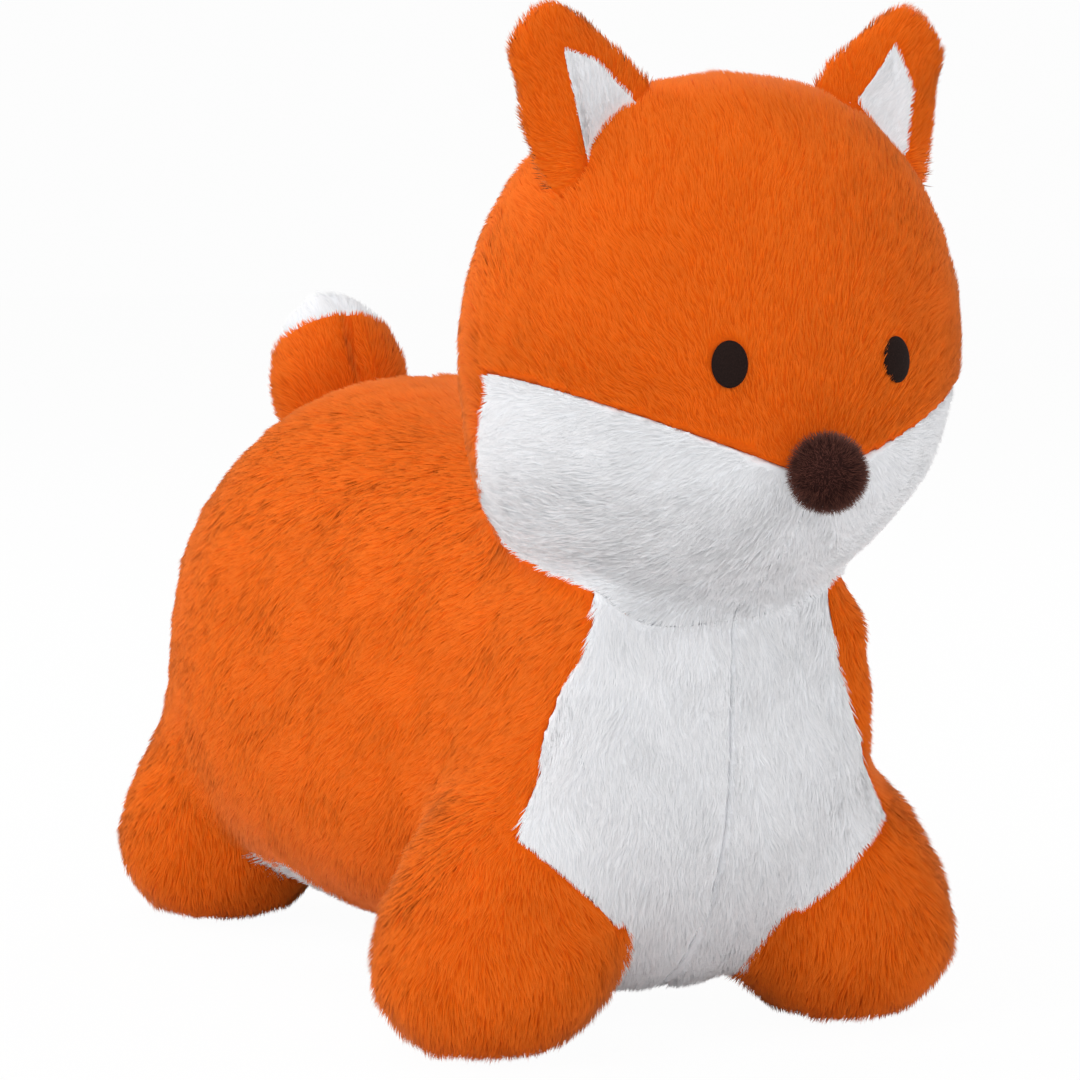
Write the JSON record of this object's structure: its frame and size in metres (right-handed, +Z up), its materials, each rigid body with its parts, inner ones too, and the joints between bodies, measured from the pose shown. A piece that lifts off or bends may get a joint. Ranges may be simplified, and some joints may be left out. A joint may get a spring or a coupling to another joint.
{
  "type": "bouncy ride-on animal",
  "caption": "Plush-covered inflatable ride-on fox with stuffed ears and tail that fold, and a belly zip with a sliding slider and hinged pull over an air valve with a pull-out plug.",
  "frame": {"origin": "middle of the bounding box at floor level, between the four feet", "axes": "+Z up, the fox faces -Y, its right side is at -X"},
  "size_m": [0.3202, 0.6468, 0.5006],
  "materials": {
    "orange_plush": "long-pile plush",
    "white_plush": "long-pile plush",
    "brown_plush": "short-pile plush",
    "brown_felt": "felt",
    "fibre_fill": "polyester fibre",
    "bladder_pvc": "smooth soft PVC",
    "valve_pvc": "smooth soft PVC",
    "zip_tape": "woven",
    "zip_plastic": "satin",
    "zip_metal": "satin"
  },
  "bodies": {
    "stuffed_body": {"front_leg_right": "orange_plush", "front_leg_left": "orange_plush", "hind_leg_right": "orange_plush", "hind_leg_left": "orange_plush", "chest_right": "white_plush", "belly_right": "white_plush", "side_right": "orange_plush", "chest_left": "white_plush", "belly_left": "white_plush", "side_left": "orange_plush", "head_back": "orange_plush", "eye_right": "brown_felt", "eye_left": "brown_felt", "nose_ball": "brown_plush", "cheek_right": "white_plush", "cheek_left": "white_plush", "forehead": "orange_plush", "bladder": "bladder_pvc", "valve_seat": "valve_pvc", "zip_tape_right": "zip_tape", "zip_teeth_right": "zip_plastic", "zip_tape_left": "zip_tape", "zip_teeth_left": "zip_plastic", "zip_stop_front": "zip_plastic", "zip_stop_rear": "zip_plastic"},
    "ear_right": {"ear_cover_right": "orange_plush", "ear_lining_right": "white_plush", "ear_filling_right": "fibre_fill"},
    "ear_left": {"ear_cover_left": "orange_plush", "ear_lining_left": "white_plush", "ear_filling_left": "fibre_fill"},
    "tail": {"tail_sleeve": "orange_plush", "tail_tip": "white_plush", "tail_filling": "fibre_fill"},
    "zip_slider": {"zip_slider": "zip_metal"},
    "zip_pull": {"zip_pull": "zip_metal"},
    "valve_plug": {"valve_plug": "valve_pvc"}
  },
  "joints": [
    {"name": "ear_right_fold", "type": "hinge", "parent": "stuffed_body", "child": "ear_right", "pos_m": [-0.08604, -0.2129, 0.43819], "axis": [-0.7447, 0, -0.6675], "range_deg": [-25, 25], "stiffness_Nm_per_rad": 0.12},
    {"name": "ear_left_fold", "type": "hinge", "parent": "stuffed_body", "child": "ear_left", "pos_m": [0.08604, -0.2129, 0.43819], "axis": [-0.7447, 0, 0.6675], "range_deg": [-25, 25], "stiffness_Nm_per_rad": 0.12},
    {"name": "tail_wag", "type": "hinge", "parent": "stuffed_body", "child": "tail", "pos_m": [0, 0.26913, 0.26406], "axis": [1, 0, 0], "range_deg": [-15, 35], "stiffness_Nm_per_rad": 0.4},
    {"name": "zip_slide", "type": "slide", "parent": "stuffed_body", "child": "zip_slider", "axis": [0, -1, 0], "range_m": [0, 0.2164], "deforming": ["zip_teeth_right", "zip_teeth_left"]},
    {"name": "zip_pull_swing", "type": "hinge", "parent": "zip_slider", "child": "zip_pull", "pos_m": [0, 0.14055, 0.0154], "axis": [1, 0, 0], "range_deg": [0, 150]},
    {"name": "valve_plug_pull", "type": "slide", "parent": "stuffed_body", "child": "valve_plug", "axis": [0, 0, -1], "range_m": [0, 0.0125]}
  ]
}
